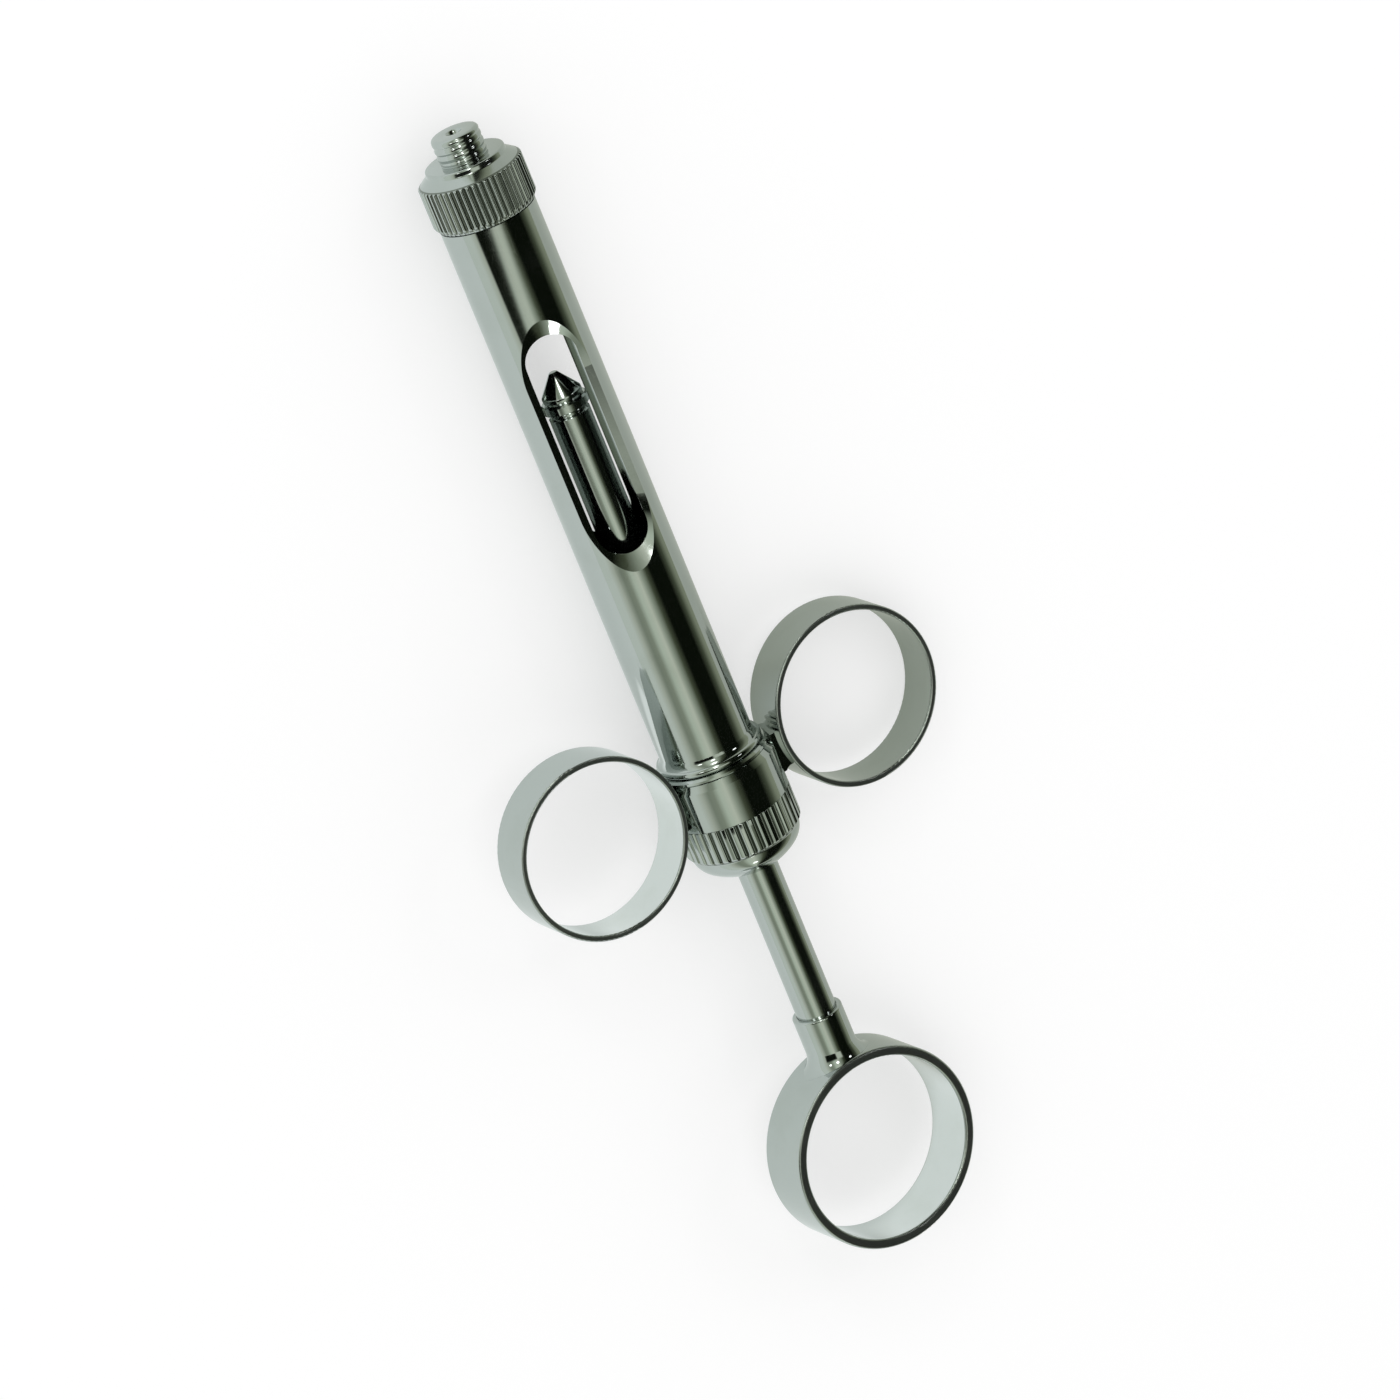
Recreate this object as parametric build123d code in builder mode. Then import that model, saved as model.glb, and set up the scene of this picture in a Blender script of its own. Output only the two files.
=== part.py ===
from build123d import *
from math import asin, atan2, cos, degrees, hypot, radians, sin, sqrt
import os

os.makedirs("parts", exist_ok=True)

# Lengths are in millimetres. A station is a distance along the syringe's axis from the line
# through the finger rings' centres, and is positive towards the needle.

# Clearances
THREAD_CLEARANCE = 0.05
RUNNING_CLEARANCE = 0.04
SEAT_GAP = 0.05
STOP_GAP = 0.3

# Barrel tube
BARREL_OD = 11.0
BARREL_WALL = 0.9
BARREL_REACH = 70.15
NOSE_LENGTH = 4.3
NOSE_STEP = 0.45
NOSE_CHAMFER = 0.2
TUBE_TAIL = 1.2

# Windows through the barrel, one on each side
WINDOW_CENTRE = 42.9
WINDOW_LENGTH = 26.8
WINDOW_WIDTH = 6.0
WINDOW_TURN = -16.0
WINDOW_BEVEL_WIDTH = 0.85
WINDOW_BEVEL_RUN = 2.05

# Ferrule that joins the tube to the finger collar
FERRULE_WALL = 0.4
BEAD_HEIGHT = 0.75
BEAD_LENGTH = 0.9
BEAD_CROWN = 0.35
BEAD_FLARE = 0.9
FLANGE_STEP = 0.3
FLANGE_LENGTH = 0.75
FLANGE_EDGE = 0.25

# Finger collar
COLLAR_WALL = 1.0
COLLAR_AHEAD = 1.35
COLLAR_LENGTH = 5.65
COLLAR_CHAMFER = 0.5
COLLAR_CHAMFER_RUN = 0.75

# Finger rings, brazed on the collar
RING_BORE = 19.6
RING_WALL = 0.7
RING_DEPTH = 6.0
RING_EDGE = 0.2
RIGHT_RING_STANDOFF = 0.5
LEFT_RING_STANDOFF = -0.3
BRAZE_DEPTH = 4.4
BRAZE_FILLET = 1.0
BRAZE_AHEAD = 1.1
BRAZE_BEHIND = 3.7

# Needle adapter, the knurled cap with the threaded stud
CAP_PROUD = 0.45
CAP_LENGTH = 5.25
CAP_REAR_BEVEL = 0.85
CAP_FRONT_BEVEL = 0.2
CAP_FACE = 1.45
CAP_DOME_INSET = 0.5
BOSS_SHOULDER = 1.35
BOSS_HEIGHT = 0.6
BOSS_EDGE = 0.25
STUD_OD = 5.5
STUD_LENGTH = 4.0
STUD_ROUND = 0.8
STUD_ROOT = 0.3
NEEDLE_BORE = 1.2
NEEDLE_FUNNEL = 3.0
CAP_FLUTES = 52
CAP_FLUTE_DEPTH = 0.28

# Rear nut
NUT_KNURL_LENGTH = 3.95
NUT_BEVEL = 0.75
NUT_BEVEL_RUN = 1.05
NUT_SHOULDER_RUN = 1.0
NUT_SHOULDER_TAPER = 0.2
NUT_DOME_RADIUS = 8.6
NUT_MOUTH_ROUND = 0.4
NUT_SPIGOT = 3.0
NUT_END_WALL = 2.45
NUT_ROD_CLEARANCE = 0.2
NUT_FLUTES = 40
NUT_FLUTE_WIDTH = 0.54
NUT_FLUTE_DEPTH = 0.36

# Gland inside the rear nut
RETAINER_INSET = 0.4
RETAINER_THICKNESS = 0.8
RETAINER_BORE = 6.4
GLAND_OFFSET = 0.485
O_RING_CORD = 1.2
O_RING_CLEARANCE = 0.02
WASHER_THICKNESS = 0.7

# Plunger
ROD_OD = 4.78
ROD_LENGTH = 82.0
ROD_CHAMFER = 0.2
PISTON_OD = 5.4
PISTON_THICKNESS = 1.2
PISTON_EDGE = 0.2
PISTON_NECK_OD = 4.2
PISTON_NECK_LENGTH = 0.4
HARPOON_OD = 4.3
HARPOON_CONE = 2.4
HARPOON_NECK_OD = 2.4
HARPOON_NECK_LENGTH = 0.8
HARPOON_SHANK_OD = 2.0
HARPOON_SHANK_IN_ROD = 4.3

# Thumb ring and its socket
PLUNGER_OUT = 19.9
SOCKET_LENGTH = 6.0
SOCKET_WALL = 0.55
SOCKET_DEPTH = 4.0
SOCKET_ROUND = 0.25
SOCKET_FLARE = 2.6
THUMB_BORE = 21.5
THUMB_WALL = 1.2
THUMB_DEPTH = 7.2
THUMB_EDGE = 0.3
THUMB_TURN = 2.3

# Radii that follow
barrel_r = BARREL_OD / 2
bore_r = barrel_r - BARREL_WALL
nose_r = barrel_r - NOSE_STEP
cap_r = barrel_r + CAP_PROUD
boss_r = cap_r - BOSS_SHOULDER
cap_bore_r = nose_r + THREAD_CLEARANCE
spigot_r = barrel_r + FERRULE_WALL
collar_bore_r = spigot_r + THREAD_CLEARANCE
collar_r = collar_bore_r + COLLAR_WALL
nut_r = collar_r
rod_r = ROD_OD / 2
bush_bore_r = rod_r + RUNNING_CLEARANCE
nut_hollow_r = (bush_bore_r + spigot_r) / 2 + GLAND_OFFSET
nut_rod_hole_r = rod_r + NUT_ROD_CLEARANCE
nut_mouth_r = nut_rod_hole_r + NUT_MOUTH_ROUND
nut_shoulder_r = nut_r - NUT_BEVEL
dome_r = nut_shoulder_r - NUT_SHOULDER_TAPER
ring_inner_r = RING_BORE / 2
ring_r = ring_inner_r + RING_WALL
right_ring_reach = collar_r + ring_r + RIGHT_RING_STANDOFF
left_ring_reach = collar_r + ring_r + LEFT_RING_STANDOFF
thumb_inner_r = THUMB_BORE / 2
thumb_r = thumb_inner_r + THUMB_WALL
socket_bore_r = rod_r + RUNNING_CLEARANCE
socket_r = socket_bore_r + SOCKET_WALL

# Stations that follow, from the needle end to the thumb ring
cap_front = BARREL_REACH + CAP_LENGTH
boss_front = cap_front + BOSS_HEIGHT
stud_tip = boss_front + STUD_LENGTH
cap_inner_face = boss_front - CAP_FACE
shoulder = BARREL_REACH - SEAT_GAP
nose_front = shoulder + NOSE_LENGTH
flange_front = COLLAR_AHEAD + FLANGE_LENGTH
bead_front = flange_front + BEAD_LENGTH
tube_tail = -TUBE_TAIL
collar_rear = COLLAR_AHEAD - COLLAR_LENGTH
nut_front = collar_rear - SEAT_GAP
nut_spigot_front = nut_front + NUT_SPIGOT
knurl_rear = nut_front - NUT_KNURL_LENGTH
bevel_rear = knurl_rear - NUT_BEVEL_RUN
dome_start = bevel_rear - NUT_SHOULDER_RUN
dome_centre = dome_start + sqrt(NUT_DOME_RADIUS**2 - dome_r**2)
nut_rear = dome_centre - sqrt(NUT_DOME_RADIUS**2 - nut_mouth_r**2)
hollow_rear = nut_rear + NUT_END_WALL
retainer_front = nut_spigot_front - RETAINER_INSET
bush_front = retainer_front - RETAINER_THICKNESS
washer_rear = hollow_rear
bush_rear = washer_rear + WASHER_THICKNESS
socket_top = nut_rear - PLUNGER_OUT
thumb_centre = socket_top - SOCKET_LENGTH - thumb_r
rod_rear = socket_top - SOCKET_DEPTH
rod_front = rod_rear + ROD_LENGTH
piston_rear = rod_front + PISTON_NECK_LENGTH
piston_front = piston_rear + PISTON_THICKNESS
harpoon_base = piston_front + HARPOON_NECK_LENGTH
harpoon_tip = harpoon_base + HARPOON_CONE

# How far the plunger can go before it meets the nut, or its piston meets the bush
forward_travel = PLUNGER_OUT - STOP_GAP
backward_travel = piston_rear - bush_front - STOP_GAP

# The syringe lies on its nut and collar, rolled until the right ring's edge meets the table
edge_reach = right_ring_reach + ring_r - RING_EDGE
edge_depth = RING_DEPTH / 2 - RING_EDGE
roll = asin((nut_r - RING_EDGE) / hypot(edge_reach, edge_depth)) - atan2(edge_depth, edge_reach)

# The origin is on the table, below the middle of the whole syringe
axis_x = -(right_ring_reach - left_ring_reach) * cos(roll) / 2
ring_line_y = -(stud_tip + thumb_centre - thumb_r) / 2
CENTRE = Vector(axis_x, ring_line_y, nut_r)
SYRINGE_AXIS = Axis(CENTRE, (0, 1, 0))

# A half section of a turned piece, drawn as radius and station
SECTION = Plane(origin=CENTRE, x_dir=(1, 0, 0), z_dir=(0, 0, 1))


def turned_plane(turn):
    """The plane of a ring or window, drawn as sideways distance and station."""
    angle = roll + radians(turn)
    return Plane(origin=CENTRE, x_dir=(cos(angle), 0, -sin(angle)), z_dir=(sin(angle), 0, cos(angle)))


def slice_at(station):
    """A plane square to the axis that faces the needle."""
    return Plane(origin=CENTRE + Vector(0, station, 0), x_dir=(1, 0, 0), z_dir=(0, 1, 0))


def band_section(plane):
    """The plane that cuts a ring's band, drawn as sideways distance and depth."""
    return Plane(origin=plane.origin, x_dir=plane.x_dir, z_dir=(0, -1, 0))


RINGS = turned_plane(0)
WINDOWS = turned_plane(WINDOW_TURN)
THUMB = turned_plane(THUMB_TURN)

# Barrel tube with its threaded nose and two windows
half_length = WINDOW_LENGTH / 2
half_width = WINDOW_WIDTH / 2
side_inner = sqrt(bore_r**2 - half_width**2)
side_outer = sqrt(barrel_r**2 - (half_width + WINDOW_BEVEL_WIDTH) ** 2)
bevel_slope = WINDOW_BEVEL_WIDTH / (side_outer - side_inner)
end_slope = WINDOW_BEVEL_RUN / BARREL_WALL
bevel_top = barrel_r + BARREL_WALL
top_half_width = half_width + (bevel_top - side_inner) * bevel_slope
top_half_length = half_length + (bevel_top - bore_r) * end_slope
low_half_length = half_length - (bore_r - side_inner) * end_slope
with BuildPart() as barrel_tube:
    with BuildSketch(SECTION):
        with BuildLine():
            Polyline(
                (bore_r, tube_tail),
                (barrel_r, tube_tail),
                (barrel_r, shoulder),
                (nose_r, shoulder),
                (nose_r, nose_front - NOSE_CHAMFER),
                (nose_r - NOSE_CHAMFER, nose_front),
                (bore_r, nose_front),
                close=True,
            )
        make_face()
    revolve(axis=SYRINGE_AXIS)
    with BuildSketch(WINDOWS):
        with Locations((0, WINDOW_CENTRE)):
            SlotOverall(WINDOW_LENGTH, WINDOW_WIDTH, rotation=90)
    extrude(amount=barrel_r, both=True, mode=Mode.SUBTRACT)
    for side in (1, -1):
        with BuildSketch(WINDOWS.offset(side * side_inner)) as bevel_foot:
            with Locations((0, WINDOW_CENTRE)):
                SlotOverall(2 * low_half_length, WINDOW_WIDTH, rotation=90)
        with BuildSketch(WINDOWS.offset(side * bevel_top)) as bevel_mouth:
            with Locations((0, WINDOW_CENTRE)):
                SlotOverall(2 * top_half_length, 2 * top_half_width, rotation=90)
        loft(sections=[bevel_foot.sketch, bevel_mouth.sketch], mode=Mode.SUBTRACT)
barrel_tube.part.label = "barrel_tube"
export_step(barrel_tube.part, "parts/barrel_tube.step")

# Ferrule brazed round the tube's tail, with a flared bead and a flange ahead of the collar
bead_r = barrel_r + BEAD_HEIGHT
flange_r = collar_r - FLANGE_STEP
crown_r = bead_r - BEAD_CROWN
flare_front = bead_front + BEAD_FLARE
with BuildPart() as barrel_ferrule:
    with BuildSketch(SECTION):
        with BuildLine():
            Polyline(
                (barrel_r, flare_front),
                (barrel_r, tube_tail),
                (spigot_r, tube_tail),
                (spigot_r, COLLAR_AHEAD),
                (flange_r - FLANGE_EDGE, COLLAR_AHEAD),
                (flange_r, COLLAR_AHEAD + FLANGE_EDGE),
                (flange_r, flange_front - FLANGE_EDGE),
                (flange_r - FLANGE_EDGE, flange_front),
                (crown_r, flange_front),
            )
            ThreePointArc(
                (crown_r, flange_front),
                (bead_r, flange_front + BEAD_LENGTH / 2),
                (crown_r, bead_front),
            )
            TangentArc((barrel_r, flare_front), (crown_r, bead_front), tangent=(0, -1))
        make_face()
    revolve(axis=SYRINGE_AXIS)
barrel_ferrule.part.label = "barrel_ferrule"
export_step(barrel_ferrule.part, "parts/barrel_ferrule.step")

# Finger collar, threaded inside for the ferrule and the rear nut
with BuildPart() as finger_collar:
    with BuildSketch(SECTION):
        with BuildLine():
            Polyline(
                (collar_bore_r, collar_rear),
                (collar_r, collar_rear),
                (collar_r, COLLAR_AHEAD - COLLAR_CHAMFER_RUN),
                (collar_r - COLLAR_CHAMFER, COLLAR_AHEAD),
                (collar_bore_r, COLLAR_AHEAD),
                close=True,
            )
        make_face()
    revolve(axis=SYRINGE_AXIS)
finger_collar.part.label = "finger_collar"
export_step(finger_collar.part, "parts/finger_collar.step")


def finger_ring(side, reach):
    """A flat band bent into a ring, with the brazed web that joins it to the collar."""
    plane = Plane(origin=CENTRE, x_dir=RINGS.x_dir * side, z_dir=RINGS.z_dir * side)
    band_mid_r = ring_r - RING_WALL / 2
    web_front = (reach - sqrt(band_mid_r**2 - BRAZE_AHEAD**2), BRAZE_AHEAD)
    web_rear = (reach - sqrt(band_mid_r**2 - BRAZE_BEHIND**2), -BRAZE_BEHIND)
    web_foot = (collar_r, -BRAZE_BEHIND)
    with BuildPart() as ring:
        with BuildSketch(band_section(plane)):
            with Locations((reach + band_mid_r, 0)):
                RectangleRounded(RING_WALL, RING_DEPTH, RING_EDGE)
        revolve(axis=Axis(plane.from_local_coords((reach, 0, 0)), plane.z_dir))
        with BuildSketch(plane):
            with BuildLine():
                ThreePointArc(web_front, (reach - band_mid_r, 0), web_rear)
                RadiusArc(web_rear, web_foot, -BRAZE_FILLET)
                Polyline(web_foot, (spigot_r, -BRAZE_BEHIND), (spigot_r, BRAZE_AHEAD), web_front)
            make_face()
        extrude(amount=BRAZE_DEPTH / 2, both=True)
        with BuildSketch(slice_at(-ring_r)):
            Circle(collar_r)
        extrude(amount=2 * ring_r, mode=Mode.SUBTRACT)
    return ring


right_finger_ring = finger_ring(1, right_ring_reach)
right_finger_ring.part.label = "right_finger_ring"
export_step(right_finger_ring.part, "parts/right_finger_ring.step")

left_finger_ring = finger_ring(-1, left_ring_reach)
left_finger_ring.part.label = "left_finger_ring"
export_step(left_finger_ring.part, "parts/left_finger_ring.step")

# Needle adapter: a knurled cap on the barrel's nose, with the stud that the needle screws on
stud_r = STUD_OD / 2
with BuildPart() as needle_adapter:
    with BuildSketch(SECTION):
        with BuildLine():
            Polyline(
                (NEEDLE_BORE / 2, stud_tip),
                (NEEDLE_BORE / 2, cap_inner_face + (NEEDLE_FUNNEL - NEEDLE_BORE) / 2),
                (NEEDLE_FUNNEL / 2, cap_inner_face),
                (cap_bore_r, cap_inner_face),
                (cap_bore_r, BARREL_REACH),
                (barrel_r, BARREL_REACH),
                (cap_r, BARREL_REACH + CAP_REAR_BEVEL),
                (cap_r, cap_front - CAP_FRONT_BEVEL),
                (cap_r - CAP_FRONT_BEVEL, cap_front),
                (cap_r - CAP_DOME_INSET, cap_front),
                (boss_r + BOSS_EDGE, boss_front - BOSS_EDGE),
                (boss_r, boss_front),
                (stud_r, boss_front),
                (stud_r - STUD_ROOT, boss_front + STUD_ROOT),
                (stud_r, boss_front + 2 * STUD_ROOT),
                (stud_r, stud_tip - STUD_ROUND),
            )
            RadiusArc(
                (stud_r, stud_tip - STUD_ROUND),
                (stud_r - STUD_ROUND, stud_tip),
                -STUD_ROUND,
            )
            Line((stud_r - STUD_ROUND, stud_tip), (NEEDLE_BORE / 2, stud_tip))
        make_face()
    revolve(axis=SYRINGE_AXIS)
    with BuildSketch(slice_at(BARREL_REACH)):
        with PolarLocations(cap_r, CAP_FLUTES):
            Rectangle(CAP_FLUTE_DEPTH * sqrt(2), CAP_FLUTE_DEPTH * sqrt(2), rotation=45)
    extrude(amount=CAP_LENGTH, mode=Mode.SUBTRACT)
needle_adapter.part.label = "needle_adapter"
export_step(needle_adapter.part, "parts/needle_adapter.step")

# Rear nut: a threaded spigot, a knurled band and a domed end that the rod runs through
flute_centre_r = nut_r - NUT_FLUTE_DEPTH + NUT_FLUTE_WIDTH / 2
with BuildPart() as rear_nut:
    with BuildSketch(SECTION):
        with BuildLine():
            Polyline(
                (nut_mouth_r, nut_rear),
                (nut_rod_hole_r, nut_rear + NUT_MOUTH_ROUND),
                (nut_rod_hole_r, hollow_rear),
                (nut_hollow_r, hollow_rear),
                (nut_hollow_r, nut_spigot_front),
                (spigot_r, nut_spigot_front),
                (spigot_r, nut_front),
                (nut_r, nut_front),
                (nut_r, knurl_rear),
                (nut_shoulder_r, bevel_rear),
                (dome_r, dome_start),
            )
            RadiusArc((dome_r, dome_start), (nut_mouth_r, nut_rear), NUT_DOME_RADIUS)
        make_face()
    revolve(axis=SYRINGE_AXIS)
    with BuildSketch(slice_at(knurl_rear)):
        with PolarLocations(flute_centre_r, NUT_FLUTES):
            Circle(NUT_FLUTE_WIDTH / 2)
    extrude(amount=NUT_KNURL_LENGTH, mode=Mode.SUBTRACT)
rear_nut.part.label = "rear_nut"
export_step(rear_nut.part, "parts/rear_nut.step")


def turned_ring(inner_r, outer_r, rear, front):
    """A plain washer-like ring about the syringe's axis."""
    with BuildPart() as ring:
        with BuildSketch(slice_at(rear)):
            Circle(outer_r)
            Circle(inner_r, mode=Mode.SUBTRACT)
        extrude(amount=front - rear)
    return ring


# Gland inside the nut: retainer, guide bush, friction ring and washer
bush_retainer = turned_ring(RETAINER_BORE / 2, nut_hollow_r, bush_front, retainer_front)
bush_retainer.part.label = "bush_retainer"
export_step(bush_retainer.part, "parts/bush_retainer.step")

o_ring_r = rod_r + O_RING_CLEARANCE + O_RING_CORD / 2
pocket_r = o_ring_r + O_RING_CORD / 2
pocket_front = bush_rear + O_RING_CORD
with BuildPart() as guide_bush:
    with BuildSketch(SECTION):
        with BuildLine():
            Polyline(
                (bush_bore_r, bush_front),
                (nut_hollow_r, bush_front),
                (nut_hollow_r, bush_rear),
                (pocket_r, bush_rear),
                (pocket_r, pocket_front),
                (bush_bore_r, pocket_front),
                close=True,
            )
        make_face()
    revolve(axis=SYRINGE_AXIS)
guide_bush.part.label = "guide_bush"
export_step(guide_bush.part, "parts/guide_bush.step")

with BuildPart() as rod_o_ring:
    with BuildSketch(SECTION):
        with Locations((o_ring_r, bush_rear + O_RING_CORD / 2)):
            Circle(O_RING_CORD / 2)
    revolve(axis=SYRINGE_AXIS)
rod_o_ring.part.label = "rod_o_ring"
export_step(rod_o_ring.part, "parts/rod_o_ring.step")

o_ring_washer = turned_ring(nut_rod_hole_r, nut_hollow_r, washer_rear, bush_rear)
o_ring_washer.part.label = "o_ring_washer"
export_step(o_ring_washer.part, "parts/o_ring_washer.step")

# Plunger rod with a tapped front end, its piston head and the harpoon that screws through it
shank_r = HARPOON_SHANK_OD / 2
shank_rear = rod_front - HARPOON_SHANK_IN_ROD
with BuildPart() as plunger_rod:
    with BuildSketch(SECTION):
        with BuildLine():
            Polyline(
                (0, rod_rear),
                (rod_r - ROD_CHAMFER, rod_rear),
                (rod_r, rod_rear + ROD_CHAMFER),
                (rod_r, rod_front - ROD_CHAMFER),
                (rod_r - ROD_CHAMFER, rod_front),
                (shank_r, rod_front),
                (shank_r, shank_rear),
                (0, shank_rear),
                close=True,
            )
        make_face()
    revolve(axis=SYRINGE_AXIS)
plunger_rod.part.label = "plunger_rod"
export_step(plunger_rod.part, "parts/plunger_rod.step")

piston_r = PISTON_OD / 2
with BuildPart() as piston_head:
    with BuildSketch(SECTION):
        with BuildLine():
            Polyline(
                (shank_r, rod_front),
                (PISTON_NECK_OD / 2, rod_front),
                (PISTON_NECK_OD / 2, piston_rear),
                (piston_r - PISTON_EDGE, piston_rear),
                (piston_r, piston_rear + PISTON_EDGE),
                (piston_r, piston_front - PISTON_EDGE),
                (piston_r - PISTON_EDGE, piston_front),
                (shank_r, piston_front),
                close=True,
            )
        make_face()
    revolve(axis=SYRINGE_AXIS)
piston_head.part.label = "piston_head"
export_step(piston_head.part, "parts/piston_head.step")

with BuildPart() as harpoon:
    with BuildSketch(SECTION):
        with BuildLine():
            Polyline(
                (0, shank_rear),
                (shank_r, shank_rear),
                (shank_r, piston_front),
                (HARPOON_NECK_OD / 2, piston_front),
                (HARPOON_NECK_OD / 2, harpoon_base),
                (HARPOON_OD / 2, harpoon_base),
                (0, harpoon_tip),
                close=True,
            )
        make_face()
    revolve(axis=SYRINGE_AXIS)
harpoon.part.label = "harpoon"
export_step(harpoon.part, "parts/harpoon.step")

# Thumb socket: a sleeve on the rod's end that flares to meet the thumb ring
flare_x = socket_r + SOCKET_FLARE
flare_y = thumb_centre + sqrt((thumb_r + SOCKET_FLARE) ** 2 - flare_x**2)
flare_angle = atan2(flare_x, flare_y - thumb_centre)
flare_foot = (thumb_r * sin(flare_angle), thumb_centre + thumb_r * cos(flare_angle))
mid_angle = radians((degrees(flare_angle) + 90) / 2)
flare_mid = (flare_x - SOCKET_FLARE * sin(mid_angle), flare_y - SOCKET_FLARE * cos(mid_angle))
socket_floor = rod_rear - SEAT_GAP
with BuildPart() as thumb_socket:
    with BuildSketch(SECTION):
        with BuildLine():
            Polyline(
                (flare_foot[0], flare_foot[1]),
                (flare_foot[0], thumb_centre + thumb_inner_r / 2),
                (0, thumb_centre + thumb_inner_r / 2),
                (0, socket_floor),
                (socket_bore_r, socket_floor),
                (socket_bore_r, socket_top),
                (socket_r - SOCKET_ROUND, socket_top),
            )
            RadiusArc(
                (socket_r - SOCKET_ROUND, socket_top),
                (socket_r, socket_top - SOCKET_ROUND),
                SOCKET_ROUND,
            )
            Line((socket_r, socket_top - SOCKET_ROUND), (socket_r, flare_y))
            ThreePointArc((socket_r, flare_y), flare_mid, flare_foot)
        make_face()
    revolve(axis=SYRINGE_AXIS)
    with BuildSketch(THUMB):
        with Locations((0, (socket_top + thumb_centre) / 2)):
            Rectangle(2 * thumb_r, socket_top - thumb_centre)
    extrude(amount=THUMB_DEPTH / 2 - THUMB_EDGE, both=True, mode=Mode.INTERSECT)
    with BuildSketch(THUMB):
        with Locations((0, thumb_centre)):
            Circle(thumb_r)
    extrude(amount=THUMB_DEPTH, both=True, mode=Mode.SUBTRACT)
thumb_socket.part.label = "thumb_socket"
export_step(thumb_socket.part, "parts/thumb_socket.step")

# Thumb ring, a wide band that is brazed under the socket
with BuildPart() as thumb_ring:
    thumb_section = band_section(THUMB)
    thumb_section.origin = THUMB.from_local_coords((0, thumb_centre, 0))
    with BuildSketch(thumb_section):
        with Locations((thumb_r - THUMB_WALL / 2, 0)):
            RectangleRounded(THUMB_WALL, THUMB_DEPTH, THUMB_EDGE)
    revolve(axis=Axis(thumb_section.origin, THUMB.z_dir))
thumb_ring.part.label = "thumb_ring"
export_step(thumb_ring.part, "parts/thumb_ring.step")
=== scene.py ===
from math import atan2, cos, hypot, pi, radians, sin, sqrt

import bmesh
import bpy
from mathutils import Matrix, Vector


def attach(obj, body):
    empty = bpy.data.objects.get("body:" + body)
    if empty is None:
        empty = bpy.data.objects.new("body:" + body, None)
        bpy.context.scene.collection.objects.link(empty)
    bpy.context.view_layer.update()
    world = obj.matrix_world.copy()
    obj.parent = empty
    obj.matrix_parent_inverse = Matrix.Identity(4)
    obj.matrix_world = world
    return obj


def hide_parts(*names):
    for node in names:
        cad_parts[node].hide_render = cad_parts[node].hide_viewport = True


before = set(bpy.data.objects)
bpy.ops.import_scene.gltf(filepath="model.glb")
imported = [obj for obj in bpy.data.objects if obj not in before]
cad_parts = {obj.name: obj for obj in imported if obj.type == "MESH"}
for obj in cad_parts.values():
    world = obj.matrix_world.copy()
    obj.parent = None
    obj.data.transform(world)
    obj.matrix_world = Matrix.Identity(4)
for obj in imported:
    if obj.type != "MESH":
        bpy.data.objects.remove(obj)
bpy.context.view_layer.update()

# Sizes are in millimetres. A station is a distance along the syringe's axis from the line through
# the finger rings' centres, and is positive towards the needle.
MM = 0.001

# Where the syringe's axis runs, and how far the rings are rolled from level
AXIS_X = -0.396015
AXIS_Y = -8.97384
AXIS_Z = 6.95
ROLL = 0.14128

# Finger and thumb rings: where their centres are, and half the depth of their bands
LEFT_RING_REACH = 17.15
THUMB_STATION = -50.1
THUMB_TURN = radians(2.3)
RING_HALF_DEPTH = 3.0
THUMB_HALF_DEPTH = 3.6
RIM_OUTER = 0.08
RIM_INNER = 0.25

# Roundings of turned edges
RIM_ROUND = 0.08
EDGE_ROUND = 0.1
CREST_ROUND = 0.12
TIP_ROUND = 0.15

# Needle adapter: the knurled cap
BARREL_R = 5.5
CAP_R = 5.95
CAP_REAR = 70.15
CAP_REAR_BEVEL = 0.7
CAP_SEAT_INSET = 0.05
CAP_FRONT = 75.4
CAP_FRONT_BEVEL = 0.12
CAP_FRONT_INSET = 0.15
CAP_BORE_R = 5.1
CAP_INNER_FACE = 74.55
CAP_FLUTES = 52
CAP_FLUTE_DEPTH = 0.26
CAP_FLUTE_HALF = 0.44

# Needle adapter: the boss and the threaded stud with the needle's bore
BOSS_R = 4.6
BOSS_FOOT = 76.3
BOSS_FRONT = 76.95
BOSS_LEAN = 0.06
BOSS_ROUND = 0.22
STUD_R = 2.75
STUD_TIP = 80.0
STUD_ROOT = 0.12
STUD_TIP_LEAN = 0.1
STUD_TIP_ROUND = 0.38
THREAD_PITCH = 0.8
THREAD_DEPTH = 0.1
THREAD_HALF = 0.4
THREAD_FOOT_GAP = 0.3
THREAD_TIP_GAP = 0.5
THREAD_ROW = 0.1
NEEDLE_BORE_R = 0.6
NEEDLE_FUNNEL_R = 1.5
NEEDLE_COUNTERSINK = 0.35

# Rear nut
NUT_R = 6.95
NUT_FRONT = -4.35
NUT_SPIGOT_FRONT = -1.35
NUT_SPIGOT_R = 5.9
NUT_HOLLOW_R = 4.65
NUT_KNURL_REAR = -8.3
NUT_BEVEL = 0.45
NUT_SWELL_R = 2.58
NUT_DOME_R = 8.6
NUT_DOME_CENTRE = -4.189
NUT_DOME_START_R = 5.6
NUT_ROD_HOLE_R = 2.59
NUT_MOUTH_R = 2.99
NUT_END_WALL = 2.45
NUT_FLUTES = 40
NUT_FLUTE_DEPTH = 0.34
NUT_FLUTE_HALF = 0.26

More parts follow.
